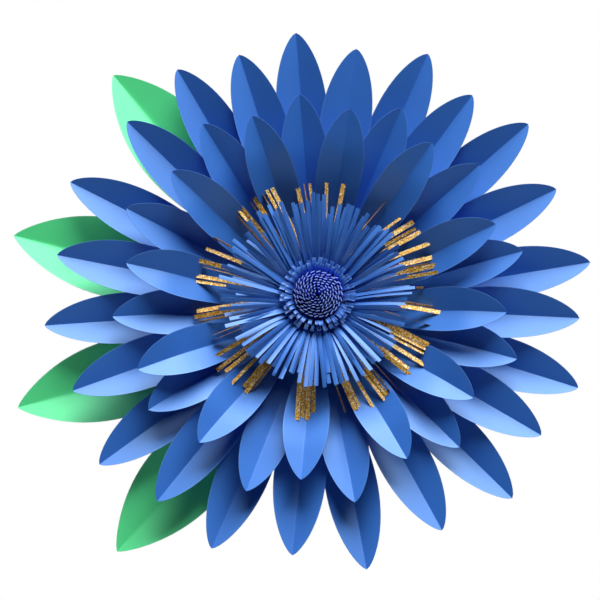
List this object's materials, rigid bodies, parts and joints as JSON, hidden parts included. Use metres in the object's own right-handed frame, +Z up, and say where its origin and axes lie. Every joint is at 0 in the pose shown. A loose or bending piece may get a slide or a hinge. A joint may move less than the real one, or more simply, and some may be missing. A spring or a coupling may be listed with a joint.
{
  "type": "paper flower",
  "caption": "Hanging flower of creased card petals in staggered rings, with green leaves behind one side and a rolled centre of blue and gold glitter fringe.",
  "frame": {"origin": "centre of the backing disc's rear face, which lies flat on the wall", "axes": "+Z up as hung, +X to the right seen from the front, +Y into the wall; the flower's face looks along -Y"},
  "size_m": [0.5817, 0.0689, 0.5479],
  "materials": {
    "petal_card": "matt card",
    "leaf_card": "matt card",
    "board_card": "matt card",
    "fringe_paper": "matt paper",
    "core_paper": "matt paper",
    "gold_paper": "glitter"
  },
  "bodies": {
    "root": {"backing_disc": "board_card", "front_disc": "board_card", "leaf_1": "leaf_card", "leaf_2": "leaf_card", "leaf_3": "leaf_card", "leaf_4": "leaf_card", "outer_petal_01": "petal_card", "outer_petal_02": "petal_card", "outer_petal_03": "petal_card", "outer_petal_04": "petal_card", "outer_petal_05": "petal_card", "outer_petal_06": "petal_card", "outer_petal_07": "petal_card", "outer_petal_08": "petal_card", "outer_petal_09": "petal_card", "outer_petal_10": "petal_card", "outer_petal_11": "petal_card", "outer_petal_12": "petal_card", "second_petal_01": "petal_card", "second_petal_02": "petal_card", "second_petal_03": "petal_card", "second_petal_04": "petal_card", "second_petal_05": "petal_card", "second_petal_06": "petal_card", "second_petal_07": "petal_card", "second_petal_08": "petal_card", "second_petal_09": "petal_card", "second_petal_10": "petal_card", "second_petal_11": "petal_card", "second_petal_12": "petal_card", "third_petal_01": "petal_card", "third_petal_02": "petal_card", "third_petal_03": "petal_card", "third_petal_04": "petal_card", "third_petal_05": "petal_card", "third_petal_06": "petal_card", "third_petal_07": "petal_card", "third_petal_08": "petal_card", "third_petal_09": "petal_card", "third_petal_10": "petal_card", "third_petal_11": "petal_card", "third_petal_12": "petal_card", "inner_petal_01": "petal_card", "inner_petal_02": "petal_card", "inner_petal_03": "petal_card", "inner_petal_04": "petal_card", "inner_petal_05": "petal_card", "inner_petal_06": "petal_card", "inner_petal_07": "petal_card", "inner_petal_08": "petal_card", "inner_petal_09": "petal_card", "inner_petal_10": "petal_card", "inner_petal_11": "petal_card", "inner_petal_12": "petal_card", "core_roll": "core_paper", "collar_fringe": "core_paper", "blue_fringe": "fringe_paper", "gold_fringe": "gold_paper"}
  },
  "joints": []
}
